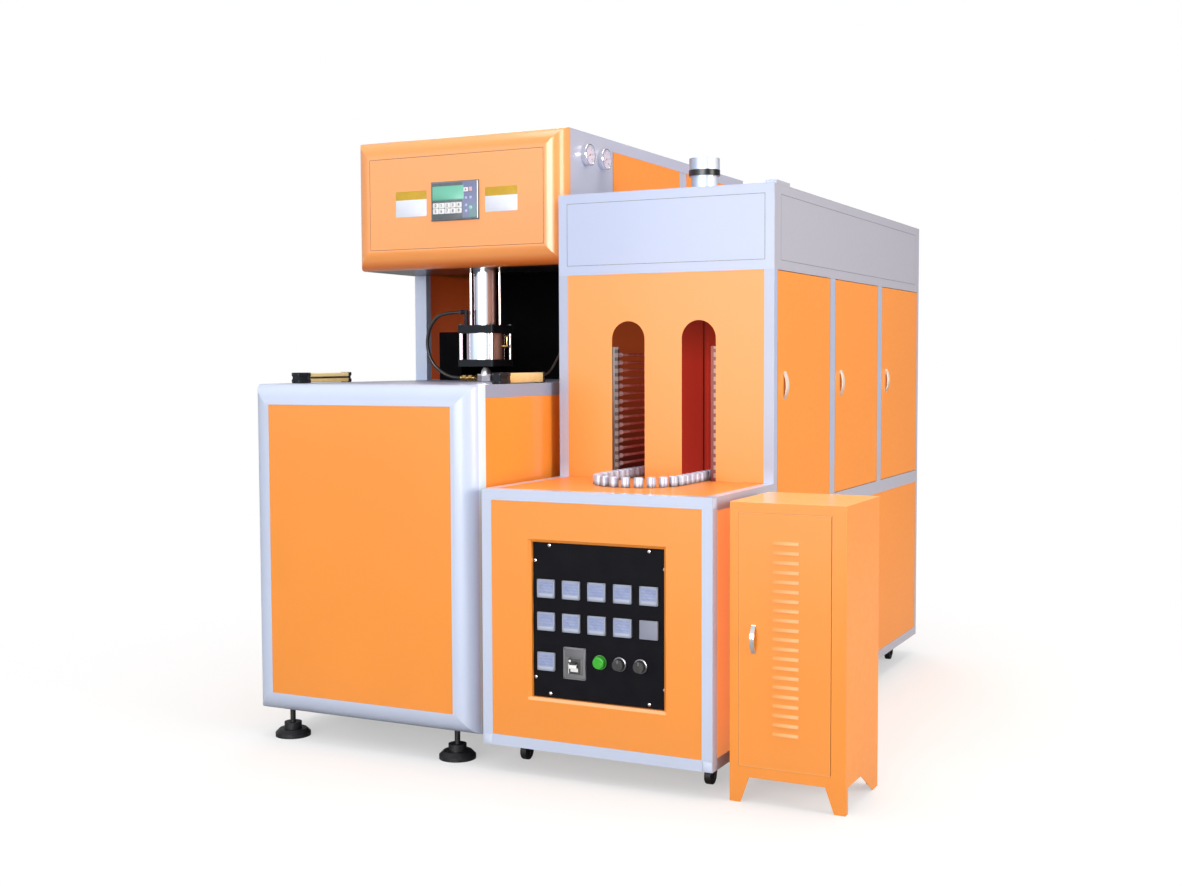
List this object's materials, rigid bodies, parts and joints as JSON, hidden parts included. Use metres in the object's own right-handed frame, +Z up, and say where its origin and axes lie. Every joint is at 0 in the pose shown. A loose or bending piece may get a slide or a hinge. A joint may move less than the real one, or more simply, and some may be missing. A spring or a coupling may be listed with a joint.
{
  "type": "blow moulding machine",
  "caption": "Stretch blow moulding station with an infrared preform heater and a small electrical cabinet, in orange and white sheet metal, standing side by side.",
  "frame": {"origin": "on the floor, under the centre of the bounding box of the whole set", "axes": "+X to the set's right seen from the front, +Y to the back, +Z up"},
  "size_m": [2.251, 2.6, 2.278],
  "materials": {
    "orange_paint": "semi-gloss",
    "white_paint": "semi-gloss",
    "black_metal": "satin",
    "black_plastic": "matt",
    "grey_plastic": "satin",
    "green_plastic": "gloss",
    "white_plastic": "gloss",
    "chrome": "polished",
    "steel": "brushed",
    "machined_aluminium": "machined",
    "gold_anodised": "satin",
    "brass": "satin",
    "reflector": "satin",
    "quartz_glass": "gloss",
    "black_rubber": "matt",
    "caster_tread": "matt"
  },
  "bodies": {
    "machine": {"blow_frame": "white_paint", "blow_front_surround": "white_paint", "blow_front_panel": "orange_paint", "blow_side_panels": "orange_paint", "blow_table": "white_paint", "upper_covers": "white_paint", "upper_panels": "orange_paint", "bulkhead": "black_metal", "head_shell": "orange_paint", "display_unit": "grey_plastic", "pressure_gauges": "chrome", "seal_cylinder": "steel", "neck_block": "chrome", "hose_union": "brass", "air_hoses": "black_rubber", "lock_cylinders": "gold_anodised", "mould_front": "machined_aluminium", "clamp_unit": "steel", "levelling_feet": "black_metal", "heater_frame": "white_paint", "heater_front_panel": "orange_paint", "heater_panels": "orange_paint", "heater_table": "orange_paint", "hood_front": "orange_paint", "hood_cover": "white_paint", "control_panel": "black_metal", "panel_instruments": "grey_plastic", "exhaust_duct": "steel", "preform_holders": "machined_aluminium", "chain_drive": "steel", "heat_lamps": "quartz_glass", "lamp_rails": "reflector", "locker_body": "orange_paint", "locker_gear": "grey_plastic"},
    "seal_head": {"seal_ram": "chrome", "seal_plates": "black_metal", "seal_block": "chrome"},
    "stretch_piston": {"stretch_rod": "steel"},
    "moving_mould": {"mould_rear": "machined_aluminium"},
    "lock_rods": {"lock_slides": "black_metal"},
    "front_door": {"door_front": "orange_paint", "door_front_handle": "chrome"},
    "middle_door": {"door_middle": "orange_paint", "door_middle_handle": "chrome"},
    "rear_door": {"door_rear": "orange_paint", "door_rear_handle": "chrome"},
    "cabinet_door": {"locker_door": "orange_paint", "locker_handle": "chrome"},
    "breaker_toggle": {"breaker_lever": "white_plastic"},
    "start_cap": {"start_button": "green_plastic"},
    "left_knob": {"speed_knob_left": "black_plastic"},
    "right_knob": {"speed_knob_right": "black_plastic"},
    "fork_front_left": {"caster_fork_front_left": "black_metal"},
    "wheel_front_left": {"caster_wheel_front_left": "caster_tread"},
    "fork_front_right": {"caster_fork_front_right": "black_metal"},
    "wheel_front_right": {"caster_wheel_front_right": "caster_tread"},
    "fork_rear_left": {"caster_fork_rear_left": "black_metal"},
    "wheel_rear_left": {"caster_wheel_rear_left": "caster_tread"},
    "fork_rear_right": {"caster_fork_rear_right": "black_metal"},
    "wheel_rear_right": {"caster_wheel_rear_right": "caster_tread"}
  },
  "joints": [
    {"name": "seal_lift", "type": "slide", "parent": "machine", "child": "seal_head", "axis": [0, 0, 1], "range_m": [0, 0.15]},
    {"name": "stretch_stroke", "type": "slide", "parent": "seal_head", "child": "stretch_piston", "axis": [0, 0, -1], "range_m": [0, 0.45]},
    {"name": "clamp_stroke", "type": "slide", "parent": "machine", "child": "moving_mould", "axis": [0, 1, 0], "range_m": [0, 0.28]},
    {"name": "lock_stroke", "type": "slide", "parent": "machine", "child": "lock_rods", "axis": [0, -1, 0], "range_m": [0, 0.15]},
    {"name": "front_door_hinge", "type": "hinge", "parent": "machine", "child": "front_door", "pos_m": [0.6965, -0.09367, 1.2885], "axis": [0, 0, 1], "range_deg": [0, 110]},
    {"name": "middle_door_hinge", "type": "hinge", "parent": "machine", "child": "middle_door", "pos_m": [0.6965, 0.58367, 1.2885], "axis": [0, 0, 1], "range_deg": [0, 110]},
    {"name": "rear_door_hinge", "type": "hinge", "parent": "machine", "child": "rear_door", "pos_m": [0.6965, 1.261, 1.2885], "axis": [0, 0, 1], "range_deg": [0, 110]},
    {"name": "cabinet_door_hinge", "type": "hinge", "parent": "machine", "child": "cabinet_door", "pos_m": [1.0685, -1.264, 0.5175], "axis": [0, 0, 1], "range_deg": [0, 110]},
    {"name": "breaker_switch", "type": "hinge", "parent": "machine", "child": "breaker_toggle", "pos_m": [0.204, -1.271, 0.39], "axis": [1, 0, 0], "range_deg": [-28, 28]},
    {"name": "start_press", "type": "slide", "parent": "machine", "child": "start_cap", "axis": [0, 1, 0], "range_m": [0, 0.005], "stiffness_N_per_m": 300},
    {"name": "left_speed_turn", "type": "hinge", "parent": "machine", "child": "left_knob", "pos_m": [0.3685, -1.28, 0.402], "axis": [0, -1, 0], "range_deg": [-150, 150]},
    {"name": "right_speed_turn", "type": "hinge", "parent": "machine", "child": "right_knob", "pos_m": [0.4435, -1.28, 0.402], "axis": [0, -1, 0], "range_deg": [-150, 150]},
    {"name": "swivel_front_left", "type": "hinge", "parent": "machine", "child": "fork_front_left", "pos_m": [-0.0625, -1.11, 0.08], "axis": [0, 0, 1], "continuous": true},
    {"name": "roll_front_left", "type": "hinge", "parent": "fork_front_left", "child": "wheel_front_left", "pos_m": [-0.0625, -1.13, 0.03], "axis": [1, 0, 0], "continuous": true},
    {"name": "swivel_front_right", "type": "hinge", "parent": "machine", "child": "fork_front_right", "pos_m": [0.6275, -1.11, 0.08], "axis": [0, 0, 1], "continuous": true},
    {"name": "roll_front_right", "type": "hinge", "parent": "fork_front_right", "child": "wheel_front_right", "pos_m": [0.6275, -1.13, 0.03], "axis": [1, 0, 0], "continuous": true},
    {"name": "swivel_rear_left", "type": "hinge", "parent": "machine", "child": "fork_rear_left", "pos_m": [-0.0625, 1.11, 0.08], "axis": [0, 0, 1], "continuous": true},
    {"name": "roll_rear_left", "type": "hinge", "parent": "fork_rear_left", "child": "wheel_rear_left", "pos_m": [-0.0625, 1.09, 0.03], "axis": [1, 0, 0], "continuous": true},
    {"name": "swivel_rear_right", "type": "hinge", "parent": "machine", "child": "fork_rear_right", "pos_m": [0.6275, 1.11, 0.08], "axis": [0, 0, 1], "continuous": true},
    {"name": "roll_rear_right", "type": "hinge", "parent": "fork_rear_right", "child": "wheel_rear_right", "pos_m": [0.6275, 1.09, 0.03], "axis": [1, 0, 0], "continuous": true}
  ]
}
